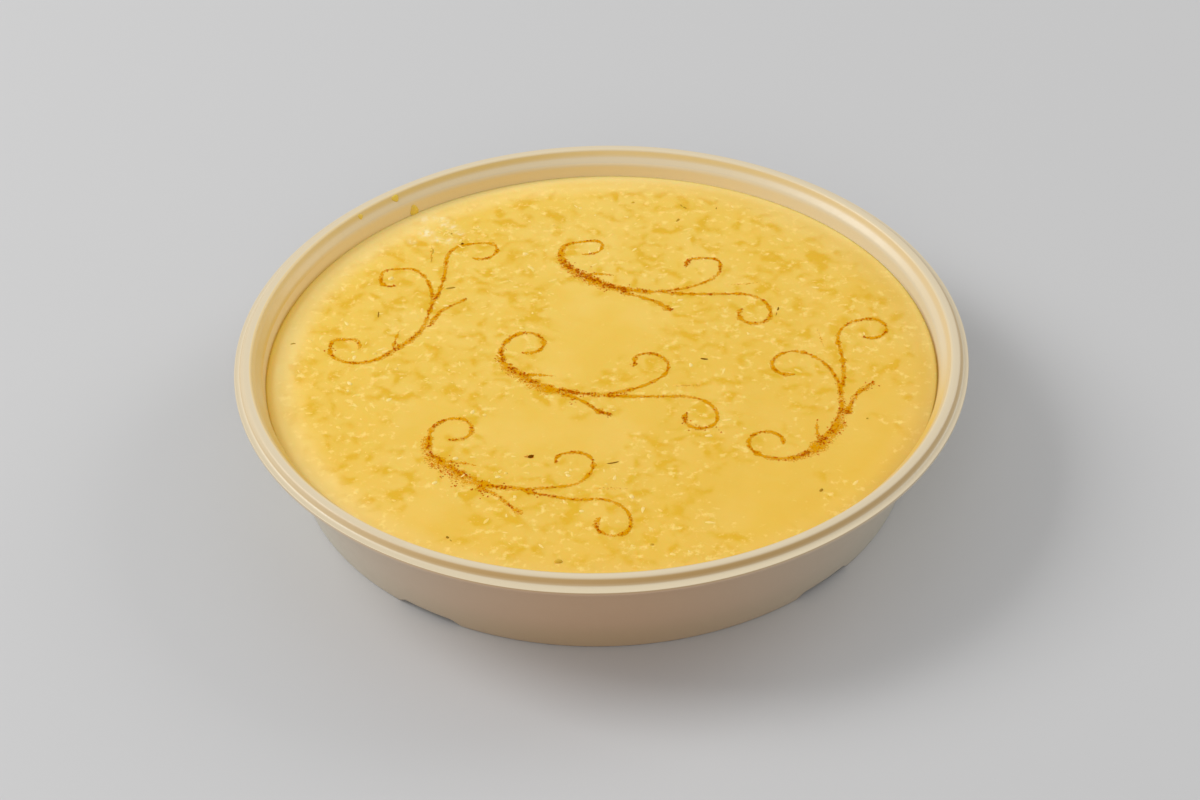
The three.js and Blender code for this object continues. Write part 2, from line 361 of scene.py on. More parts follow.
def gap_shadow_share(angle):
    """How plainly the painted shadow of the gap between skin and wall shows round it: a quarter at the left,
    and in full at the right.
    """
    return np.maximum(0.25 * toward(angle, *LEFT_GAP_SHADOW), toward(angle, *RIGHT_GAP_SHADOW))


outline_run = np.gradient(bowl_outline[1:-1], axis=0)
looks_up = np.repeat(-outline_run[:, 0] / np.hypot(*outline_run.T), BOWL_STEPS)
looks_up = np.concatenate([looks_up, [-1, 1]])
ring_radius = np.hypot(bowl_vertices[:, 0], bowl_vertices[:, 1])
ring_height = bowl_vertices[:, 2]
ring_angle = np.arctan2(bowl_vertices[:, 1], bowl_vertices[:, 0])
ring_number = np.append(np.repeat(np.arange(ring_count), BOWL_STEPS), [0, ring_count])
outline_radius = np.append(np.repeat(bowl_outline[1:-1, 0], BOWL_STEPS), [0, 0])
inside = (ring_number > np.argmax(bowl_outline[1:-1, 1])) & (outline_radius < CREST_INNER + 0.5 * MM)
on_wall = inside & (ring_height < SHOULDER_Z + 0.3 * MM)
outer_ring = (ring_radius > CREST_INNER + 0.7 * MM) & (ring_height > FLANGE_Z + 0.5 * MM)
# Painted light: faces that look up, and the left side of the ring, are painted cream; the inside at the
# front and the wall at the right get less of it.
faces_up_lit = smooth_step(looks_up - 0.25 * outer_ring, 0.35, 0.85)
faces_up_lit = np.maximum(faces_up_lit, 0.7 * toward(ring_angle, *PALE_RING) * outer_ring)
smooth_face = np.maximum(faces_up_lit, 0.6 * inside) - 0.35 * inside * toward(ring_angle, *TAN_RING)
smooth_face = np.where(on_wall, 1 - 0.75 * toward(ring_angle, *TAN_WALL), smooth_face)
paint_points(bowl, "smooth_face", smooth_face)
# The ring's steep inner face is painted golden, partly custard dried there and partly painted shade and
# yellow bounce, most at the back.
steep_rim = (1 - smooth_step(looks_up, 0.3, 0.8)) * (ring_height > FLANGE_Z - 0.3 * MM)
ring_gold_and_shade = steep_rim * inside * (0.05 + 0.95 * toward(ring_angle, *GOLDEN_RING))
paint_points(bowl, "golden_drop", ring_gold_and_shade)
# Painted yellow light bounced up from the custard onto the inside, most at the back and left and less near
# the top of the wall at the back.
bounce_wall = 0.1 + 0.95 * toward(ring_angle, *BOUNCE_WALL)
bounce_ring = 0.2 + 0.8 * toward(ring_angle, *BOUNCE_RING)
upper_wall = on_wall * smooth_step(ring_height, SHOULDER_Z - 1.15 * MM, SHOULDER_Z)
wetted = inside * np.where(on_wall, bounce_wall, bounce_ring)
paint_points(bowl, "wetted", wetted * (1 - 0.55 * upper_wall * toward(ring_angle, *DIM_UPPER_WALL)))
paint_points(bowl, "front", toward(ring_angle, *FRONT))
film = 0.9 * np.maximum(toward(ring_angle, *FRONT_LEFT_FILM), toward(ring_angle, *FRONT_RIGHT_FILM))
film = np.maximum(film, 0.75 * toward(ring_angle, *LEFT_FILM) * (ring_radius > 106 * MM))
near_skin = np.exp(-((ring_height - CONTACT_Z) / (0.7 * MM)) ** 2)
film = np.maximum(film, 0.9 * near_skin * toward(ring_angle, *SKIN_FILM))
film *= inside * smooth_step(-ring_height, -FLANGE_Z - 0.5 * MM, -FLANGE_Z + 0.5 * MM)
paint_points(bowl, "film", film)
# Painted shadow: a dark line on the wall where the gap between it and the shrunken skin lies.
shadow_reach = 0.7 * MM + 1.2 * MM * toward(ring_angle, *TALL_GAP_SHADOW)
off_shadow = (ring_height - CONTACT_Z - 0.3 * MM) / shadow_reach
paint_points(bowl, "contact_line", inside * np.exp(-off_shadow**2) * gap_shadow_share(ring_angle))

fibre = Finish("pressed_fibre", Specular_IOR_Level=0.5)
height_up = fibre.node("SeparateXYZ", inputs={"Vector": fibre.place}, output=2)
near_foot = 1 - fibre.between(height_up, 4 * MM, 15 * MM)
# Away from the front the wall's tan is painted paler and greyer as a painted sheen.
wall = fibre.mix(fibre.attribute("front"), SIDE_SHEEN_TAN, fibre.mix(near_foot, FRONT_TAN, LOW_TAN))
# Painted shade: the ring's steep faces are painted darker, less so at the sides.
groove_shade = fibre.mix(fibre.attribute("front"), SIDE_GROOVE_SHADE, GROOVE_SHADE)
steep = fibre.mix(fibre.between(height_up, FLANGE_Z - 0.6 * MM, FLANGE_Z), wall, groove_shade)
# Painted light: cream where the faces look up, over the tan of the steep ones.
bare = fibre.mix(fibre.attribute("smooth_face"), steep, LIT_CREAM)
blotches = 0.8 + 0.4 * fibre.noise(9 * MM, 3.0)
tint = fibre.mix(fibre.attribute("wetted") * blotches, bare, BOUNCE_CREAM)
tint = fibre.mix(fibre.attribute("golden_drop") * blotches, tint, DROP_GOLD_AND_SHADE)
tint = fibre.mix(fibre.attribute("film") * blotches, tint, FILM_GOLD)
tint = fibre.mix(fibre.attribute("contact_line") * blotches, tint, GAP_SHADOW_BROWN)
fibre.feed("Base Color", tint)
fibre.feed("Roughness", 0.30 + 0.14 * fibre.noise(4 * MM, 2.0))
fibre.feed("Normal", fibre.bump(fibre.noise(1.2 * MM, 3.0, 0.6), 0.04 * MM))
fibre.on(bowl)
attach(bowl, "root")
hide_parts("bowl")

# ---- the custard ----
# Rice cooked soft in yellow custard and poured in hot: it sets level with a tender skin, which swells over
# the grains just under it, dips between them, and is plain where no rice lies near the wall. Near the wall
# the skin is painted paler as light reflected from the wall, and at the front right darker as painted shade;
# towards the front right it is painted a deeper yellow where its painted sheen is weaker, and pale specks
# are painted as glints over the rice.

SKIN_RADIUS = CONTACT_RADIUS + 0.1 * MM
CUSTARD_CELLS = 288
CUSTARD_BOTTOM = FLOOR_Z + 0.3 * MM
# The custard's side, out of sight against the wall: (height, how far inside the wall's face).
CUSTARD_SIDE = (
    (FILL_Z - 3 * MM, -0.1 * MM),
    (FLOOR_Z + 3.3 * MM, 0.5 * MM),
    (CUSTARD_BOTTOM, 3.2 * MM),
)
SWELL = 0.07 * MM
DIMPLE = 0.02 * MM
GRAIN_SWELL = 0.10 * MM
EDGE_DROP = 0.25 * MM
GRAIN_PITCH = 4.6 * MM
GRAIN_MARGIN = 6.5 * MM
GRAIN_HALF_LENGTH = (2.2 * MM, 3.8 * MM)
GRAIN_HALF_WIDTH = (1.2 * MM, 2.0 * MM)
GRAIN_WANDER = 0.45 * MM
GRAIN_SHAKE = 0.36
# Spots that plain custard covers: (x, y, radius), in millimetres.
PLAIN_SPOTS = np.array([
    (2, 20, 17), (-9, 3, 11), (-24, -31, 12), (-3, -38, 11), (12, -27, 8), (-54, -26, 10), (50, -25, 8),
    (47, -65, 17), (73, -42, 15), (-50, -72, 10), (83, -20, 9), (-9, 37, 7),
]) * MM
# Pale spots on the skin, partly froth from the pouring set there and partly a painted sheen: (x, y, spread,
# share), in millimetres.
FROTH_AND_SHEEN_SPOTS = [
    (-58.0, 83.2, 1.9, 1.00), (-54.5, 82.4, 1.4, 0.70), (-52.0, 82.9, 1.1, 0.50), (-50.9, 80.5, 1.4, 0.50),
    (-57.0, 74.4, 2.2, 0.60), (-51.3, 78.3, 1.3, 0.50), (-48.0, 76.9, 1.5, 0.50), (-46.0, 73.9, 1.4, 0.55),
    (-53.8, 70.2, 1.4, 0.50), (-61.6, 69.7, 1.4, 0.45), (-48.8, 69.2, 1.8, 0.35),
]
# Stretches round the bowl where the skin's edge is painted pale as light reflected from the wall, and where
# it is painted darker as shade.
WALL_LIGHT_EDGE = (150, 165)
SHADED_EDGE = (326, 36)
draw = np.random.default_rng(20)


def plain_share(x, y):
    """1 well inside any plain spot, and 0 from a quarter of its radius outside it."""
    away = np.hypot(x[:, None] - PLAIN_SPOTS[:, 0], y[:, None] - PLAIN_SPOTS[:, 1]) / PLAIN_SPOTS[:, 2]
    return 1 - smooth_step(away.min(1), 0.75, 1.25)


def scattered_grains():
    """Place, turn, half length, half width and nearness to the skin of each grain. The places are a
    lattice of triangles, shaken by about a third of its pitch and kept clear of the wall. Nearness is an
    even draw to the power of 1.3, and falls to nothing where plain custard lies over the rice."""
    reach = int(SKIN_RADIUS / GRAIN_PITCH) + 2
    row, column = np.meshgrid(np.arange(-reach, reach + 1) * 1.0, np.arange(-reach, reach + 1) * 1.0)
    x = (column + 0.5 * (row % 2)).ravel() * GRAIN_PITCH
    y = row.ravel() * math.sqrt(0.75) * GRAIN_PITCH
    x = x + draw.uniform(-GRAIN_SHAKE, GRAIN_SHAKE, x.size) * GRAIN_PITCH
    y = y + draw.uniform(-GRAIN_SHAKE, GRAIN_SHAKE, y.size) * GRAIN_PITCH
    keep = np.hypot(x, y) < SKIN_RADIUS - GRAIN_MARGIN * draw.uniform(0.75, 1.3, x.size)
    x, y = x[keep], y[keep]
    count = x.size
    turn = draw.uniform(0, math.pi, count)
    half_length = draw.uniform(*GRAIN_HALF_LENGTH, count)
    half_width = draw.uniform(*GRAIN_HALF_WIDTH, count)
    nearness = draw.uniform(0, 1, count) ** 1.3
    nearness *= 1 - plain_share(x, y)
    return np.stack([x, y, turn, half_length, half_width, nearness], 1)


grains = scattered_grains()


def waves(x, y, length, count, seed):
    """Sum of plane waves of about one length, in drawn directions and phases, scaled so that its root
    mean square is 1."""
    pick = np.random.default_rng(seed)
    total = np.zeros_like(x)
    for bearing, phase, scale in pick.uniform(0, 1, (count, 3)):
        step = 2 * math.pi / (length * (0.75 + 0.5 * scale))
        across = x * math.cos(2 * math.pi * bearing) + y * math.sin(2 * math.pi * bearing)
        total += np.sin(across * step + 2 * math.pi * phase)
    return total * math.sqrt(2 / count)


def grain_field(x, y):
    """For each point, the swell over the grains and how plainly they show through. Each grain has a dome
    and a bell over its ellipse, times its nearness: the swell is the highest dome there, and the show is the
    sum of the bells. Waves push the points about first, so that no ellipse stays a true one."""
    push_x = GRAIN_WANDER * waves(x, y, 7 * MM, 9, 3)
    push_y = GRAIN_WANDER * waves(x, y, 7 * MM, 9, 4)
    x, y = x + push_x, y + push_y
    swell = np.zeros_like(x)
    show = np.zeros_like(x)
    for gx, gy, turn, half_length, half_width, nearness in grains:
        near = np.flatnonzero((np.abs(x - gx) < 2.2 * half_length) & (np.abs(y - gy) < 2.2 * half_length))
        along = (x[near] - gx) * math.cos(turn) + (y[near] - gy) * math.sin(turn)
        across = (y[near] - gy) * math.cos(turn) - (x[near] - gx) * math.sin(turn)
        outward = (along / half_length) ** 2 + (across / half_width) ** 2
        swell[near] = np.maximum(swell[near], np.clip(1 - outward / 1.9, 0, 1) ** 1.5 * nearness)
        show[near] += np.exp(-1.1 * outward) * nearness
    return swell, np.clip(show, 0, 1.5)


def skin(x, y):
    """Height of the custard's skin, and how plainly rice shows through it. The height is the fill level,
    plus two sets of waves that fade out near the wall, plus the swell over the grains, less a low fall
    towards the wall, plus a climb against it that dies away as an exponential."""
    radius = np.hypot(x, y)
    from_wall = SKIN_RADIUS - radius
    swell, show = grain_field(x, y)
    calm = smooth_step(from_wall, 1.5 * MM, 9 * MM)
    height = FILL_Z + calm * (SWELL * waves(x, y, 26 * MM, 9, 1) + DIMPLE * waves(x, y, 8 * MM, 14, 2))
    height += GRAIN_SWELL * swell
    height -= EDGE_DROP * smooth_step(-from_wall, -16 * MM, -3 * MM)
    climb = CONTACT_Z - FILL_Z + EDGE_DROP
    height += climb * np.exp(-np.clip(from_wall, 0, None) / (1.1 * MM))
    return height, show


def disc_grid(cells, radius):
    """Square rings of a grid laid as round rings of a disc: the larger of the two coordinates gives the
    radius, and their ratio the angle within its quarter."""
    a, b = np.meshgrid(np.linspace(-1, 1, cells + 1), np.linspace(-1, 1, cells + 1), indexing="ij")
    wide = np.abs(a) >= np.abs(b)
    safe_a = np.where(a == 0, 1, a)
    safe_b = np.where(b == 0, 1, b)
    turn = np.where(wide, math.pi / 4 * b / safe_a, math.pi / 2 - math.pi / 4 * a / safe_b)
    reach = np.where(wide, a, b) * radius
    return reach * np.cos(turn), reach * np.sin(turn)


custard_x, custard_y = disc_grid(CUSTARD_CELLS, SKIN_RADIUS)
custard_z, custard_show = skin(custard_x.ravel(), custard_y.ravel())
side = CUSTARD_CELLS + 1
label = np.arange(side * side).reshape(side, side)
border = np.concatenate([label[:-1, 0], label[-1, :-1], label[:0:-1, -1], label[0, :0:-1]])
top_points = np.stack([custard_x.ravel(), custard_y.ravel(), custard_z], 1)
border_angle = np.arctan2(top_points[border, 1], top_points[border, 0])
side_rows = []
for height, inset in CUSTARD_SIDE:
    reach = inner_wall(height) - inset
    row = [reach * np.cos(border_angle), reach * np.sin(border_angle), np.full(border.size, height)]
    side_rows.append(np.stack(row, 1))
custard_points = np.concatenate([top_points, *side_rows, [[0, 0, CUSTARD_BOTTOM]]])
custard_faces = np.array(grid_faces(side, side, closed=False))[:, ::-1].tolist()
ring = border
for index in range(len(side_rows)):
    lower = len(top_points) + index * border.size + np.arange(border.size)
    custard_faces += np.stack([ring, lower, np.roll(lower, -1), np.roll(ring, -1)], 1).tolist()
    ring = lower
pole = np.full(border.size, len(custard_points) - 1)
custard_faces += np.stack([ring, pole, np.roll(ring, -1)], 1).tolist()
custard = new_piece("custard", custard_points, custard_faces)
from_wall = SKIN_RADIUS - np.hypot(custard_points[:, 0], custard_points[:, 1])
on_top = np.arange(len(custard_points)) < len(top_points)
custard_angle = np.arctan2(custard_points[:, 1], custard_points[:, 0])
show_all = np.zeros(len(custard_points))
show_all[on_top] = custard_show
paint_points(custard, "rice_shows", show_all)
paint_points(custard, "rice_near", 1 - plain_share(custard_points[:, 0], custard_points[:, 1]))
# Pale spots at the back left, partly froth and partly a painted sheen of the light.
froth = np.zeros(len(custard_points))
for x, y, size, share in FROTH_AND_SHEEN_SPOTS:
    away = np.hypot(custard_points[:, 0] - x * MM, custard_points[:, 1] - y * MM) / (size * MM)
    froth = np.maximum(froth, share * np.exp(-away**2))
paint_points(custard, "froth", froth)
# Painted light: the skin near the wall is painted paler, as light reflected from the wall, most at the back
# left.
wall_light_share = 0.45 + 0.55 * toward(custard_angle, *WALL_LIGHT_EDGE)
wall_light_band = 0.62 * smooth_step(from_wall, 6 * MM, 16 * MM) + 0.38 * smooth_step(from_wall, 1 * MM, 5 * MM)
paint_points(custard, "pale_edge", (1 - wall_light_band) * wall_light_share)
golden_band = 1 - smooth_step(from_wall, 0.4 * MM, 4.6 * MM)
paint_points(custard, "golden_edge", 0.85 * golden_band * toward(custard_angle, *SKIN_FILM))
# Painted shade at the skin's edge: the gap's shadow at the left and right, and a wider darkening near the
# wall at the front right.
gap_shadow_band = 1 - smooth_step(from_wall, 0.2 * MM, 1.4 * MM)
shaded_band = 1 - smooth_step(from_wall, 0.5 * MM, 7.5 * MM)
edge_shade_share = np.maximum(0.6 * gap_shadow_band * gap_shadow_share(custard_angle),
                   0.5 * shaded_band * toward(custard_angle, *SHADED_EDGE))
paint_points(custard, "brown_edge", edge_shade_share)
# Painted sheen: the skin is painted a deeper yellow towards the front right, where its sheen is weaker than
# at the back left.
to_front_right = (0.5 * custard_points[:, 0] - 0.85 * custard_points[:, 1]) / (150 * MM)
paint_points(custard, "deep", smooth_step(to_front_right, -0.5, 0.5))

# Besides the custard's own yellows and the rice's gold, these colours hold painted light: a deeper yellow
# for weaker sheen, a pale one for light from the wall, pale specks for glints, a pale one for froth partly
# painted as sheen, and a brown for shade at the edge.
CUSTARD_YELLOW = (0.865, 0.568, 0.080, 1.0)
CUSTARD_LIGHT = (0.895, 0.610, 0.120, 1.0)
CUSTARD_LESS_SHEEN = (0.81, 0.45, 0.03, 1.0)
CUSTARD_WALL_LIT = (1.0, 0.755, 0.29, 1.0)
RICE_GOLD = (0.79, 0.460, 0.016, 1.0)
GLINT_PALE = (0.98, 0.69, 0.18, 1.0)
FROTH_AND_SHEEN_PALE = (1.0, 0.87, 0.58, 1.0)
EDGE_GOLD = (1.0, 0.575, 0.035, 1.0)
EDGE_SHADE_BROWN = (0.62, 0.36, 0.045, 1.0)
custard_finish = Finish("custard_skin", Subsurface_Weight=0.2, Subsurface_Scale=3 * MM, IOR=1.38)
cloud = custard_finish.between(custard_finish.noise(20 * MM, 3.0), 0.35, 0.7)
body = custard_finish.mix(cloud, CUSTARD_YELLOW, CUSTARD_LIGHT)
body = custard_finish.mix(0.35 * custard_finish.attribute("deep"), body, CUSTARD_LESS_SHEEN)
shows = custard_finish.attribute("rice_shows") * (2.2 * custard_finish.noise(2.4 * MM, 4.0, 0.65))
body = custard_finish.mix(custard_finish.between(shows, 0.05, 1.05), body, RICE_GOLD)
# Painted highlights: small pale specks painted as glints, more of them near the rice.
glint_noise = custard_finish.noise(2.8 * MM, 3.0, 0.6) + custard_finish.attribute("rice_near") * 0.10
body = custard_finish.mix(custard_finish.between(glint_noise, 0.625, 0.85), body, GLINT_PALE)
bubbles = custard_finish.between(custard_finish.noise(1.6 * MM, 2.0), 0.4, 0.6)
foam = custard_finish.attribute("froth") * (0.3 + 1.1 * bubbles)
body = custard_finish.mix(foam, body, FROTH_AND_SHEEN_PALE)
pale = custard_finish.attribute("pale_edge") * (0.7 + 0.5 * custard_finish.noise(12 * MM, 2.0))
body = custard_finish.mix(custard_finish.between(pale, 0.1, 1.0), body, CUSTARD_WALL_LIT)
body = custard_finish.mix(custard_finish.attribute("golden_edge"), body, EDGE_GOLD)
body = custard_finish.mix(custard_finish.attribute("brown_edge"), body, EDGE_SHADE_BROWN)
custard_finish.feed("Base Color", body)
custard_finish.feed("Roughness", 0.28 + 0.2 * custard_finish.noise(6 * MM, 2.0))
pucker = custard_finish.noise(1.8 * MM, 3.0, 0.6)
custard_finish.feed("Normal", custard_finish.bump(pucker, 0.08 * MM))
custard_finish.on(custard)
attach(custard, "root")
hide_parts("rice_pudding")

# ---- the rice ----
# Plump cooked short grains, each softly bent and blunt at its ends. Most lie under the skin; those
# nearest the top break through it, wet and a little glassy, with only their backs in the air.

PROUD_COUNT = 300
PROUD_HALF_LENGTH = (2.2 * MM, 3.2 * MM)
PROUD_HALF_WIDTH = (0.9 * MM, 1.4 * MM)
PROUD_HEIGHT = (0.04 * MM, 0.20 * MM)
PROUD_TILT = 0.35
BARE_HALF_LENGTH = (1.1 * MM, 1.8 * MM)
BARE_HALF_WIDTH = (0.7 * MM, 1.0 * MM)
BARE_HEIGHT = (0.2 * MM, 0.35 * MM)
BARE_TILT = 0.1
GRAIN_BEND = 0.18
GRAIN_ALONG = 7
GRAIN_AROUND = 8
# Where the skin is thin over the rice: (x, y, spread, share of the grains that break it there).
THIN_SPOTS = ((-50, 77, 5, 0.08), (-8, 60, 24, 0.16), (-66, 12, 22, 0.18), (-28, -55, 26, 0.18))
# Pieces of grain that lie quite bare: (x, y, turn).
BARE_GRAINS = [
    (-32, -54, 10), (-78, 7, 80), (-7, -71, 0), (-45, -45, 15), (-79, -6, 120), (-68, 49, 30),
    (28, -1, 100), (-51, -56, 50), (-11, -54, 140), (-24, 61, 170), (-40, -22, 70), (26, 33, 20),
    (8, -65, 110), (32, -37, 0), (-66, -15, 40),
]


def breaking_grains():
    """Place, turn, half length, half width, height over the skin and tilt of the grains that break it. The
    bare ones come first. Of the others, a share is drawn round each thin spot by a bell, and the rest
    anywhere, but none well inside a plain spot or close to the wall."""
    x, y = draw.uniform(-95, 95, (2, 3 * PROUD_COUNT)) * MM
    pick = draw.uniform(0, 1, x.size)
    reached = 0.0
    for spot_x, spot_y, spread, share in THIN_SPOTS:
        chosen = (pick >= reached) & (pick < reached + share)
        x = np.where(chosen, (spot_x + spread * draw.normal(0, 1, x.size)) * MM, x)
        y = np.where(chosen, (spot_y + spread * draw.normal(0, 1, x.size)) * MM, y)
        reached += share
    keep = np.hypot(x, y) < SKIN_RADIUS - 8 * MM
    keep &= plain_share(x, y) < draw.uniform(0, 0.6, x.size)
    x, y = x[keep][:PROUD_COUNT], y[keep][:PROUD_COUNT]
    count = x.size
    breaking = np.stack([
        x,
        y,
        draw.uniform(0, 2 * math.pi, count),
        draw.uniform(*PROUD_HALF_LENGTH, count),
        draw.uniform(*PROUD_HALF_WIDTH, count),
        draw.uniform(*PROUD_HEIGHT, count),
        draw.normal(0, PROUD_TILT, count),
    ])
    x, y, turn = np.array(BARE_GRAINS, float).T
    count = x.size
    bare = np.stack([
        x * MM,
        y * MM,
        np.radians(turn),
        draw.uniform(*BARE_HALF_LENGTH, count),
        draw.uniform(*BARE_HALF_WIDTH, count),
        draw.uniform(*BARE_HEIGHT, count),
        draw.normal(0, BARE_TILT, count),
    ])
    return np.concatenate([bare, breaking], 1)


def grain_meshes(x, y, turn, half_length, half_width, above, tilt):
    """Every grain at once: a superellipse turned round its long axis and nine tenths as high as it is
    wide, bent by a parabola along its length, tilted, turned, and set so that the point that stands highest
    over the skin is at the grain's height above it."""
    t = np.linspace(-1, 1, GRAIN_ALONG)
    girth = np.clip(1 - np.abs(t) ** 2.4, 0, 1) ** 0.5
    spin = np.arange(GRAIN_AROUND) * 2 * math.pi / GRAIN_AROUND
    bend = draw.uniform(-GRAIN_BEND, GRAIN_BEND, x.size)[:, None, None] * half_length[:, None, None]
    long, wide = half_length[:, None, None], half_width[:, None, None]
    run = t[None, :, None] * np.ones(GRAIN_AROUND)
    along = long * run
    across = wide * girth[None, :, None] * np.cos(spin) + bend * (run**2 - 0.4)
    up = 0.9 * wide * girth[None, :, None] * np.sin(spin) * np.ones_like(long)
    lean = tilt[:, None, None]
    along, up = along * np.cos(lean) - up * np.sin(lean), along * np.sin(lean) + up * np.cos(lean)
    body = np.stack([along, across, up], -1)
    ends = body[:, [0, -1]].mean(2)
    points = np.concatenate([body[:, 1:-1].reshape(x.size, -1, 3), ends], 1)
    ca, sa = np.cos(turn)[:, None], np.sin(turn)[:, None]
    placed_x = x[:, None] + ca * points[..., 0] - sa * points[..., 1]
    placed_y = y[:, None] + sa * points[..., 0] + ca * points[..., 1]
    level = skin(placed_x.ravel(), placed_y.ravel())[0].reshape(placed_x.shape)
    lift = (level + above[:, None] - points[..., 2]).min(1)
    placed = np.stack([placed_x, placed_y, points[..., 2] + lift[:, None]], -1)
    rows = GRAIN_ALONG - 2
    ring = np.arange(GRAIN_AROUND)
    following = (ring + 1) % GRAIN_AROUND
    quads = np.array(grid_faces(rows, GRAIN_AROUND, closed=True))
    first_cap = np.stack([following, ring, np.full(GRAIN_AROUND, rows * GRAIN_AROUND)], 1)
    last = (rows - 1) * GRAIN_AROUND
    last_cap = np.stack([last + ring, last + following, np.full(GRAIN_AROUND, rows * GRAIN_AROUND + 1)], 1)
    shift = (np.arange(x.size) * points.shape[1])[:, None, None]
    faces = []
    for part in (quads, first_cap, last_cap):
        faces += (part[None] + shift).reshape(-1, part.shape[1]).tolist()
    return placed.reshape(-1, 3), faces


proud = breaking_grains()
rice = new_piece("rice_grains", *grain_meshes(*proud))
grain_points = len(rice.data.vertices) // proud.shape[1]
grain_tone = draw.uniform(0, 1, proud.shape[1]) ** 2
grain_tone[:len(BARE_GRAINS)] = 1.0
paint_points(rice, "grain_tone", np.repeat(grain_tone, grain_points))

RICE_GLASSY = (0.98, 0.64, 0.115, 1.0)
RICE_CREAMY = (1.0, 0.735, 0.25, 1.0)
rice_finish = Finish("cooked_rice", Subsurface_Weight=0.1, Subsurface_Scale=1 * MM, IOR=1.4)
tone = rice_finish.attribute("grain_tone") * 0.8 + 0.2 * rice_finish.noise(2 * MM, 2.0)
rice_finish.feed("Base Color", rice_finish.mix(tone, RICE_GLASSY, RICE_CREAMY))
rice_finish.feed("Roughness", 0.22 + 0.2 * rice_finish.noise(3 * MM, 2.0))
rice_finish.feed("Normal", rice_finish.bump(rice_finish.noise(0.9 * MM, 2.0), 0.08 * MM))
rice_finish.on(rice)
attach(rice, "root")
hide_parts("rice_pudding")

# ---- the cinnamon scrolls ----
# Ground cinnamon shaken through one cut-out in five places. Moisture has drawn the finest of it into the
# skin as an orange stain; the coarser powder lies on it in a low, broken line, thickest along the body.

# A strand starts at a point, heads off at an angle, and bends through arcs of (length, turn). Widths are
# spread evenly along it. Millimetres and degrees from where the two long strands part.
STRANDS = [
    ((-31.5, 21.9), -21,
     ((10.2, 116), (11.9, 121), (20.4, 102), (9.1, 0), (10.9, 25), (21.9, 34), (11.4, 32), (13.7, 108),
      (11.7, 127)),
     (1.0, 0.9, 1.1, 1.6, 2.8, 4.0, 3.6, 2.4, 1.6, 1.0, 0.9, 0.9, 0.9, 1.3)),
    ((-6, -0.2), -14.5,
     ((22.3, 18), (6.1, -25), (13.7, -76), (18.3, -206)),
     (1.6, 1.2, 0.9, 0.8, 0.9, 1.2, 1.5)),
    ((-19, 0.2), -24, ((12.4, -17), (6.5, 2)), (2.8, 1.2, 1.2, 1.8, 2.3)),
    ((-31, 10.6), 4, ((10.3, -21),), (1.2, 0.6, 0.35)),
    ((15.5, 2.5), 4, ((10.5, 0),), (0.15, 0.3, 0.15)),
]
# Where the cut-out's parting point was laid, how far it was turned, how heavily it was dusted, and how far
# the dust drifted off the body to its right.
SCROLLS = [
    ((-53.3, 41.2), 86.8, 0.18, 0.5),
    ((26.1, 38.2), 0.1, 0.92, 1.3),
    ((6.7, -14.6), 0.0, 0.70, 2.0),
    ((-19.2, -61.1), -7.5, 0.52, 3.2),
    ((74.1, -9.1), 94.2, 0.55, 2.4),
]
# Where the cut-out buckled a little as it was dusted: (x, y, reach, push along x, push along y).
BUCKLES = [
    (-66, 56.3, 5.5, 0.5, -2.2), (-72.8, 50, 4, 1.7, 0), (-40, 69, 6, 0, -1.5), (-81.5, 18, 4, 0, -1.4),
    (-87, 12.5, 4, 1.3, 0), (-50, 28.5, 6, -0.5, 1.8), (-5, 70, 6, 0, -3.5), (34, 58, 5, 0, -2.5),
    (40.5, 50, 4, -0.8, 0), (17, 32, 6, 1.2, 0.6), (17, 38.5, 6, 0, -0.6), (9.5, 0, 3, 1.2, 0),
    (-1, -22, 5, -0.4, -1.2), (-1, -14.4, 6, 0, -0.9), (-54.5, -36, 5, 1.2, 0), (-42, -53, 6, 0.5, 0.6),
    (-20, -10.5, 9, -0.3, -0.5), (71, -29, 9, -0.4, 0.25), (-9.5, -42.3, 4, 0, -1.0),
    (-8, -57.5, 4, 0.6, -1.0), (-27, -69, 6, -0.4, -0.8), (-8, -65, 6, 0, -0.6), (80, -18.5, 5, -1.2, 0.3),
]
STRAND_STEP = 0.45 * MM
STAIN_COLUMNS = 15
STAIN_MARGIN = 0.45 * MM
STAIN_RISE = 0.10 * MM
STAIN_DIP = 0.02 * MM
STAIN_STRENGTH = 0.58


def strand_line(start, heading, arcs, at, turn):
    """Points and headings along a strand. The heading grows evenly along each arc, and the place is the
    running sum of short steps along the heading. Each buckle then pushes the points near it, by a bell, and
    the headings are taken again from the pushed points."""
    lengths = np.array(arcs)[:, 0] * MM
    turns = np.radians(np.array(arcs)[:, 1])
    reached = np.concatenate([[0], np.cumsum(lengths)])
    bearing = math.radians(heading + turn) + np.concatenate([[0], np.cumsum(turns)])
    count = int(reached[-1] / STRAND_STEP)
    step = reached[-1] / count
    middle = np.interp((np.arange(count) + 0.5) * step, reached, bearing)
    c, s = math.cos(math.radians(turn)), math.sin(math.radians(turn))
    x0 = (at[0] + c * start[0] - s * start[1]) * MM
    y0 = (at[1] + s * start[0] + c * start[1]) * MM
    x = x0 + np.concatenate([[0], np.cumsum(np.cos(middle) * step)])
    y = y0 + np.concatenate([[0], np.cumsum(np.sin(middle) * step)])
    for bx, by, reach, push_x, push_y in BUCKLES:
        bell = np.exp(-((x - bx * MM)**2 + (y - by * MM)**2) / (reach * MM)**2)
        x = x + push_x * MM * bell
        y = y + push_y * MM * bell
    return x, y, np.arctan2(np.gradient(y), np.gradient(x))


def spread_along(values, share):
    """Values spread evenly over a length, read at a share of it, with cosine easing between them."""
    place = np.clip(share, 0, 1) * (len(values) - 1)
    low = np.minimum(place.astype(int), len(values) - 2)
    ease = 0.5 - 0.5 * np.cos((place - low) * math.pi)
    values = np.array(values)
    return values[low] * (1 - ease) + values[low + 1] * ease


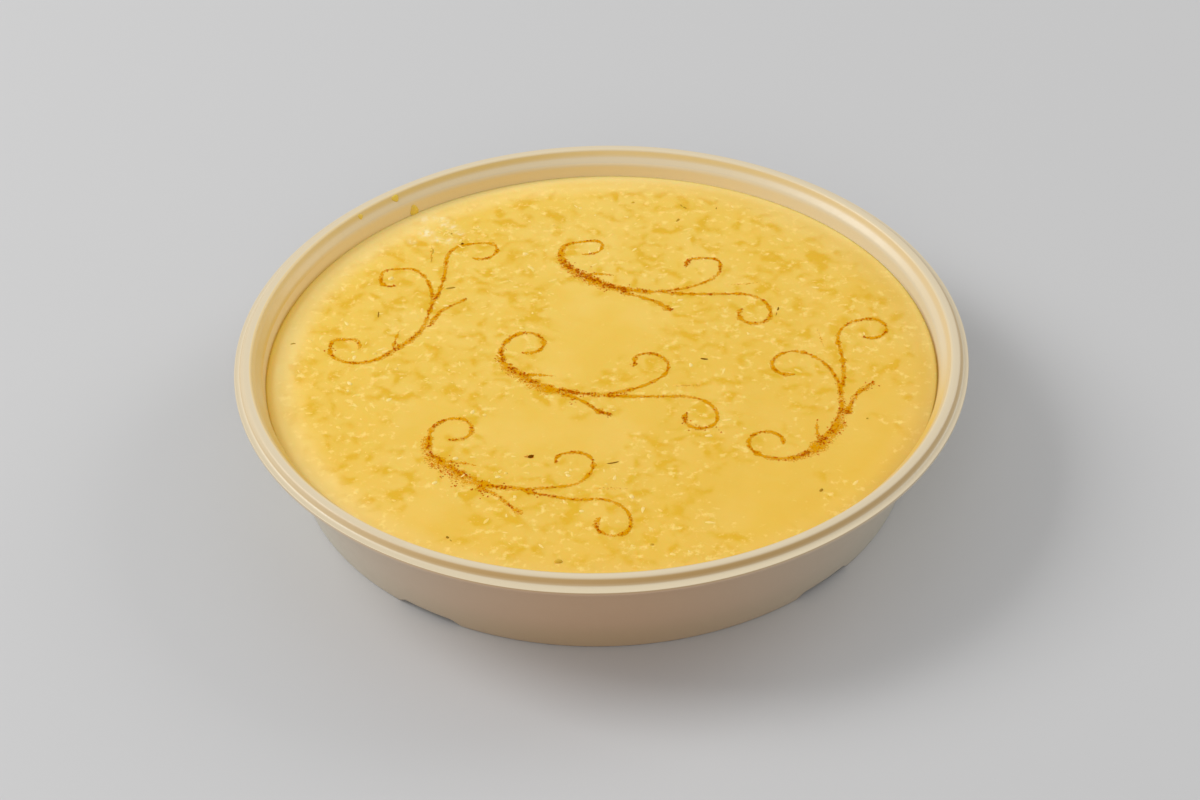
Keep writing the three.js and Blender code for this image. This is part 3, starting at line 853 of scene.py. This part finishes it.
def strand_width(line, widths, dusting):
    """How wide the powder lies along a strand: its widths, of which what is over a millimetre is scaled
    by the dusting."""
    width = spread_along(widths, np.linspace(0, 1, line[0].size))
    return (np.minimum(width, 1) + np.clip(width - 1, 0, None) * dusting) * MM


def drift_reach(line, widths, drift):
    """How far the dust drifted along a strand: not at all where its width is under 2 mm, and by the whole
    of the drift from 3.6 mm."""
    width = spread_along(widths, np.linspace(0, 1, line[0].size))
    return drift * MM * np.clip((width - 2) / 1.6, 0, 1)


def stain_ribbon(line, widths, dusting, drift):
    """A low ridge over the skin, wider than the powder by a margin on each side and made uneven by waves,
    with a skirt as wide as the drift along its right side. The height falls across both as a parabola, from
    the stain's rise to just under the skin. `cover` is the higher of two parabolas, one across the ridge and
    one of nine tenths across ridge and skirt, and it is weaker where the powder is under 0.6 mm wide."""
    x, y, way = line
    width = strand_width(line, widths, dusting)
    half = (width / 2 + STAIN_MARGIN) * (1 + 0.22 * waves(x, y, 4 * MM, 8, 5))
    to_end = np.minimum(np.arange(x.size), np.arange(x.size)[::-1])
    half = half * np.minimum(1, to_end / 4 + 0.3)
    v = np.linspace(-1, 1, STAIN_COLUMNS)
    off = v * np.where(v < 0, (half + drift_reach(line, widths, drift))[:, None], half[:, None])
    px = x[:, None] - np.sin(way)[:, None] * off
    py = y[:, None] + np.cos(way)[:, None] * off
    level = skin(px.ravel(), py.ravel())[0].reshape(px.shape)
    height = level + STAIN_RISE * (1 - v**2) - STAIN_DIP
    strongest = STAIN_STRENGTH * np.clip(width / (0.6 * MM), 0, 1) * (1 + 0.12 * waves(x, y, 9 * MM, 8, 6))
    cover = strongest[:, None] * np.maximum(1 - (off / half[:, None]) ** 2, 0.9 * (1 - v**2))
    return np.stack([px, py, height], -1).reshape(-1, 3), cover.ravel(), px.shape


stain_points, stain_faces, stain_cover = [], [], []
powder_lines = []
for at, turn, dusting, drift in SCROLLS:
    for start, heading, arcs, widths in STRANDS:
        line = strand_line(start, heading, arcs, at, turn)
        powder_lines.append((line, widths, dusting, drift))
        points, cover, shape = stain_ribbon(line, widths, dusting, drift)
        placed = sum(len(part) for part in stain_points)
        faces = np.array(grid_faces(*shape, closed=False, first=placed))[:, ::-1]
        stain_faces += faces.tolist()
        stain_points.append(points)
        stain_cover.append(cover)
stain = new_piece("cinnamon_stain", np.concatenate(stain_points), stain_faces)
paint_points(stain, "cover", np.concatenate(stain_cover))

STAIN_ORANGE = (0.83, 0.385, 0.0, 1.0)
STAIN_RUST = (0.60, 0.20, 0.0, 1.0)
stain_finish = Finish("cinnamon_stain", Specular_IOR_Level=0.0)
speckle = stain_finish.noise(0.7 * MM, 3.0, 0.65)
beads = stain_finish.between(stain_finish.noise(1.8 * MM, 2.0), 0.40, 0.62)
strength = stain_finish.attribute("cover") * (0.85 + 0.3 * beads) + (speckle - 0.5) * 1.8
stain_finish.feed("Alpha", 0.95 * stain_finish.between(strength, 0.08, 0.74))
rusty = stain_finish.between(strength, 0.50, 1.05)
stain_finish.feed("Base Color", stain_finish.mix(rusty, STAIN_ORANGE, STAIN_RUST))
stain_finish.feed("Roughness", 0.6 + 0.3 * speckle)
stain_finish.feed("Normal", stain_finish.bump(speckle, 0.15 * MM))
stain_finish.on(stain)
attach(stain, "root")
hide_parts("rice_pudding")

CRUMB_SIZE = (0.10 * MM, 0.27 * MM)
POWDER_HEIGHT = 0.30 * MM
CLUMPS_PER_MM = 0.75
CLUMP_CRUMBS = 3.5
CLUMP_SPREAD = 0.13 * MM
# Clumps lie across a line by a bell, whose spread is a share of the width that is over a margin. A few lie
# further off, and some have drifted.
LINE_SPREAD = 0.30
LINE_MARGIN = 0.35 * MM
STRAY_SHARE = 0.10
STRAY_PUSH = 2.4
DRIFTED_PER_MM = 0.2
# Where a little more was spilled beside the cut-out: (x, y, spread, clumps).
SPILLS = [
    (-52.5, -48, 1.3, 9), (-48, -52, 1.5, 14), (-44.5, -57, 1.0, 6), (-46, -48.5, 1.0, 18),
    (-20.5, -62, 1.1, 15), (-36, -60.5, 1.9, 20), (73.5, -33, 1.2, 6), (72, -36.5, 1.2, 6),
    (83, -13.5, 1.1, 8), (75.5, -27, 0.9, 6), (25, -28.5, 1.0, 7), (29, -33.8, 1.3, 8),
    (35, -33.5, 0.8, 3), (7, -14.5, 0.9, 6), (10.8, -0.6, 0.7, 6), (-22.1, -44.9, 0.5, 16),
    (28.6, 52.5, 0.7, 7), (-4.5, 46, 1.2, 8), (1.5, 41, 1.2, 6), (-10, -17.5, 1.3, 9),
    (-85.5, 12, 0.8, 5),
]
SPILL_HEAP = 0.2


def crumb_shapes(x, y, lift, size):
    """One eight-sided crumb at each place: the six tips of an octahedron, each pushed in or out a little,
    turned at random, and flattened by a third."""
    count = x.size
    tips = np.array([[1, 0, 0], [-1, 0, 0], [0, 1, 0], [0, -1, 0], [0, 0, 1], [0, 0, -1]], float)
    reach = draw.uniform(0.6, 1.3, (count, 6, 1)) * size[:, None, None]
    spin = draw.uniform(0, 2 * math.pi, count)
    lean = draw.uniform(0, math.pi, count)
    cs, ss, cl, sl = np.cos(spin), np.sin(spin), np.cos(lean), np.sin(lean)
    zero, one = np.zeros(count), np.ones(count)
    about_z = np.stack([cs, -ss, zero, ss, cs, zero, zero, zero, one], 1).reshape(-1, 3, 3)
    about_x = np.stack([one, zero, zero, zero, cl, -sl, zero, sl, cl], 1).reshape(-1, 3, 3)
    turned = np.einsum("nij,njk,nmk->nmi", about_z, about_x, tips * reach)
    turned[..., 2] *= 0.67
    centre = np.stack([x, y, skin(x, y)[0] + lift], 1)
    sides = [[0, 2, 4], [2, 1, 4], [1, 3, 4], [3, 0, 4], [2, 0, 5], [1, 2, 5], [3, 1, 5], [0, 3, 5]]
    faces = np.array(sides)[None] + (np.arange(count) * 6)[:, None, None]
    return (turned + centre[:, None]).reshape(-1, 3), faces.reshape(-1, 3).tolist()


def crumble(clump_x, clump_y, heap, floor):
    """Place and lift of crumbs scattered round the middles of clumps by a bell. Each is lifted off its
    clump's floor by up to the powder's height times its clump's heap."""
    members = np.repeat(np.arange(clump_x.size), 1 + draw.poisson(CLUMP_CRUMBS, clump_x.size))
    x = clump_x[members] + draw.normal(0, CLUMP_SPREAD, members.size)
    y = clump_y[members] + draw.normal(0, CLUMP_SPREAD, members.size)
    lift = floor[members] + heap[members] * POWDER_HEIGHT * draw.uniform(0, 1, members.size)
    return np.stack([x, y, lift])


def crumbs_along(line, widths, dusting, drift):
    """Crumbs of one strand. The clumps to a length of it go with its width to the power of 1.8, times
    waves. Each lies off the line by a bell, and one that drifted lies up to the drift's reach further to the
    right. Heaps fall as a parabola across the line, and are lower where it is thin."""
    x, y, way = line
    width = strand_width(line, widths, dusting)
    weight = (width / MM) ** 1.8 * np.clip(1 + 0.55 * waves(x, y, 6 * MM, 8, 7), 0.2, 3)
    clumps = int(weight.sum() * STRAND_STEP / MM * CLUMPS_PER_MM)
    at = np.searchsorted(np.cumsum(weight) / weight.sum(), draw.uniform(0, 1, clumps))
    at = np.minimum(at, x.size - 1)
    reach = drift_reach(line, widths, drift)[at]
    off = draw.normal(0, LINE_SPREAD, clumps) * (width[at] - LINE_MARGIN)
    off = np.where(draw.uniform(0, 1, clumps) < STRAY_SHARE, off * STRAY_PUSH, off)
    drifted = draw.uniform(0, 1, clumps) < DRIFTED_PER_MM * reach / MM
    off -= drifted * draw.uniform(0, 1, clumps) * reach
    across = np.clip(1 - (off / (width[at] / 2 + 0.2 * MM)) ** 2, 0, 1)
    heap = across * np.clip(width[at] / (2.2 * MM), 0.3, 1)
    return crumble(x[at] - np.sin(way[at]) * off, y[at] + np.cos(way[at]) * off, heap, 0.06 * MM * across)


def crumbs_spilled(x, y, spread, clumps):
    """Crumbs of one spill: its clumps lie round its middle by a bell, and all are low."""
    clump_x = x * MM + draw.normal(0, spread * MM, clumps)
    clump_y = y * MM + draw.normal(0, spread * MM, clumps)
    return crumble(clump_x, clump_y, np.full(clumps, SPILL_HEAP), np.zeros(clumps))


crumbs = [crumbs_along(*strand) for strand in powder_lines]
crumbs += [crumbs_spilled(*spill) for spill in SPILLS]
crumb_x, crumb_y, crumb_lift = np.concatenate(crumbs, 1)
crumb_size = CRUMB_SIZE[0] + (CRUMB_SIZE[1] - CRUMB_SIZE[0]) * draw.uniform(0, 1, crumb_x.size) ** 1.8
crumb_mesh = crumb_shapes(crumb_x, crumb_y, crumb_lift, crumb_size)
powder_piece = new_piece("cinnamon_powder", *crumb_mesh, smooth=False)
paint_points(powder_piece, "tone", np.repeat(draw.uniform(0, 1, crumb_x.size), 6))

CINNAMON_DARK = (0.40, 0.075, 0.0)
CINNAMON_RUST = (0.62, 0.125, 0.0)
CINNAMON_BRIGHT = (0.80, 0.24, 0.0)
POWDER_STOPS = [(0.0, CINNAMON_DARK), (0.35, CINNAMON_RUST), (0.6, CINNAMON_RUST), (1.0, CINNAMON_BRIGHT)]
powder = Finish("ground_cinnamon", Roughness=0.9, Specular_IOR_Level=0.0)
crumb_tone = powder.attribute("tone")
powder.feed("Base Color", powder.node("ValToRGB", {"stops": POWDER_STOPS}, {"Fac": crumb_tone}))
powder.on(powder_piece)
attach(powder_piece, "root")
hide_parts("rice_pudding")

# ---- the dark flecks ----
# Splinters of bark and bran that came with the spice and the rice, fallen anywhere on the skin. Some have
# sunk a little way into it and show only faintly.

# (x, y, turn, length, width, how far sunk out of sight), in millimetres and degrees.
FLECKS = [
    (32.5, 1.6, -13, 2.7, 0.6, 0.0), (2.7, -48.8, 14, 4.2, 0.5, 0.15), (57.2, 27.0, -104, 2.0, 0.6, 0.25),
    (56.5, 24.2, -104, 2.0, 0.35, 0.5), (-71.2, 29.2, -91, 3.6, 0.5, 0.4), (-54.6, 63.6, -91, 3.4, 0.5, 0.8),
    (-54.8, 59.0, -90, 3.4, 0.3, 0.75), (-48.3, 42.7, 14, 3.6, 0.8, 0.65), (-97.8, 15.2, 8, 1.9, 0.5, 0.6),
    (-46.6, -81.4, -52, 1.2, 0.8, 0.35), (-45.6, -82.8, -52, 1.0, 0.4, 0.65),
    (64.7, -64.1, 50, 1.7, 0.9, 0.5), (28.3, 86.1, -64, 1.8, 0.4, 0.6), (29.4, 84.8, -40, 1.6, 0.5, 0.55),
    (26.8, 77.8, 54, 2.0, 0.8, 0.72), (13.5, -87.0, 0, 1.2, 0.9, 0.85), (81.2, -30.5, 0, 0.8, 0.6, 0.72),
    (-44.9, 67.5, 0, 1.0, 1.0, 0.0), (12.1, 89.0, 10, 1.2, 0.8, 0.94), (-14.0, -93.5, 0, 2.6, 1.6, 0.93),
    (-22.1, -44.9, 20, 1.9, 1.4, 0.0), (-48.6, 73.3, 0, 0.8, 0.6, 0.6), (39.9, 84.5, 80, 1.2, 0.4, 0.6),
]
FLECK_DARK = (0.19, 0.060, 0.0, 1.0)
FLECK_SUNK = (0.72, 0.45, 0.05, 1.0)
fleck_x, fleck_y, fleck_turn, fleck_length, fleck_width, sunk = np.array(FLECKS).T
dark = new_piece("dark_flecks", *grain_meshes(
    fleck_x * MM,
    fleck_y * MM,
    np.radians(fleck_turn),
    half_length=fleck_length / 2 * MM,
    half_width=fleck_width / 2 * MM,
    above=0.4 * fleck_width * MM,
    tilt=np.zeros(sunk.size),
))
paint_points(dark, "sunk", np.repeat(sunk, len(dark.data.vertices) // sunk.size))
dark_finish = Finish("dark_flecks", Roughness=0.8, Specular_IOR_Level=0.0)
dark_finish.feed("Base Color", dark_finish.mix(dark_finish.attribute("sunk"), FLECK_DARK, FLECK_SUNK))
dark_finish.on(dark)
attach(dark, "root")
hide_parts("rice_pudding")

# ---- the drips ----
# Three drops of custard that ran down the inside of the ring and the wall at the back left as the bowl was
# filled, and have dried a deeper gold.

# (bearing, height, half length round the bowl, half length down its face, thickness), in degrees and
# millimetres.
DRIPS = [(125.5, 32.7, 1.6, 1.9, 0.50), (128.3, 38.3, 1.3, 1.2, 0.30), (136.3, 38.3, 0.9, 0.9, 0.22)]
DRIP_ROWS = 9
DRIP_COLUMNS = 20
DRIP_GOLD = (0.84, 0.58, 0.075, 1.0)
inner_face = bowl_outline[np.argmax(bowl_outline[:, 1]):-1]
face_run = np.append(0, np.cumsum(np.hypot(*np.diff(inner_face, axis=0).T)))


def on_face(run):
    """Radius and height on the bowl's inner face at a run down it from the crest."""
    return np.stack([np.interp(run, face_run, inner_face[:, axis]) for axis in (0, 1)], -1)


def drip_points(bearing, height, half_round, half_down, thickness):
    """A squashed ball whose middle surface is bent to the bowl's inner face: its first two axes run round
    the bowl and down the face, and its third along the face's normal. Three waves round its edge make it
    ragged."""
    t = np.linspace(0, math.pi, DRIP_ROWS)[:, None]
    phi = np.arange(DRIP_COLUMNS) * 2 * math.pi / DRIP_COLUMNS
    reach = np.sin(t) * (1 + 0.12 * np.sin(3 * phi + bearing))
    run = np.interp(-height * MM, -inner_face[:, 1], face_run) + reach * np.sin(phi) * half_down * MM
    angle = math.radians(bearing) + reach * np.cos(phi) * half_round * MM / SKIN_RADIUS
    out = np.cos(t) * thickness * MM * np.ones_like(phi)
    before, middle, after = (on_face(run + step) for step in (-0.05 * MM, 0.0, 0.05 * MM))
    along = (after - before) / np.linalg.norm(after - before, axis=-1, keepdims=True)
    radius = middle[..., 0] + out * along[..., 1]
    z = middle[..., 1] - out * along[..., 0]
    return np.stack([radius * np.cos(angle), radius * np.sin(angle), z], -1).reshape(-1, 3)


drip_faces = []
for index in range(len(DRIPS)):
    drip_faces += grid_faces(DRIP_ROWS, DRIP_COLUMNS, closed=True, first=index * DRIP_ROWS * DRIP_COLUMNS)
drips = new_piece("custard_drips", np.concatenate([drip_points(*drip) for drip in DRIPS]), drip_faces)
drip_finish = Finish(
    "dried_custard",
    Base_Color=DRIP_GOLD,
    Roughness=0.25,
    IOR=1.4,
    Subsurface_Weight=0.1,
    Subsurface_Scale=1 * MM,
)
drip_finish.on(drips)
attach(drips, "root")
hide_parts("rice_pudding")

# ---- the table and the light ----
# A plain pale table top, a broad soft key lamp at the left, two weaker ones behind and in front, and an
# even sky.

TABLE_PALE = (0.58, 0.58, 0.585, 1.0)
TABLE_REACH = 3.0
LAMP_DISTANCE = 2.0
LAMP_SIZE = 1.0
SKY_WHITE = (1.0, 0.998, 0.994, 1.0)
SKY_STRENGTH = 0.48

table_corners = np.array([[-1, -1, 0], [1, -1, 0], [1, 1, 0], [-1, 1, 0]]) * TABLE_REACH
table = new_piece("table_top", table_corners, [(0, 1, 2, 3)], smooth=False)
table_finish = Finish("pale_table", Base_Color=TABLE_PALE, Roughness=0.5)
table_finish.on(table)


def soft_lamp(name, bearing, rise, watts, colour):
    """A square lamp on a sphere round the middle of the bowl's foot, facing it. The bearing is in degrees
    from +X towards +Y, and the rise in degrees above the table."""
    lamp = bpy.data.objects.new(name, bpy.data.lights.new(name, "AREA"))
    lamp.data.size = LAMP_SIZE
    lamp.data.energy = watts
    lamp.data.color = colour
    b, r = math.radians(bearing), math.radians(rise)
    outward = Vector((math.cos(b) * math.cos(r), math.sin(b) * math.cos(r), math.sin(r)))
    facing = outward.to_track_quat("Z", "Y").to_matrix().to_4x4()
    lamp.matrix_world = Matrix.Translation(outward * LAMP_DISTANCE) @ facing
    bpy.context.scene.collection.objects.link(lamp)


soft_lamp("key_left", 166, 41, 22.4, (1.0, 1.0, 0.995))
soft_lamp("back_right", 32, 30, 8.9, (1.0, 1.0, 0.99))
soft_lamp("front_fill", 262, 36, 5.5, (1.0, 1.0, 1.0))
sky = bpy.data.worlds.new("sky")
sky.use_nodes = True
sky.node_tree.nodes["Background"].inputs["Color"].default_value = SKY_WHITE
sky.node_tree.nodes["Background"].inputs["Strength"].default_value = SKY_STRENGTH
bpy.context.scene.world = sky
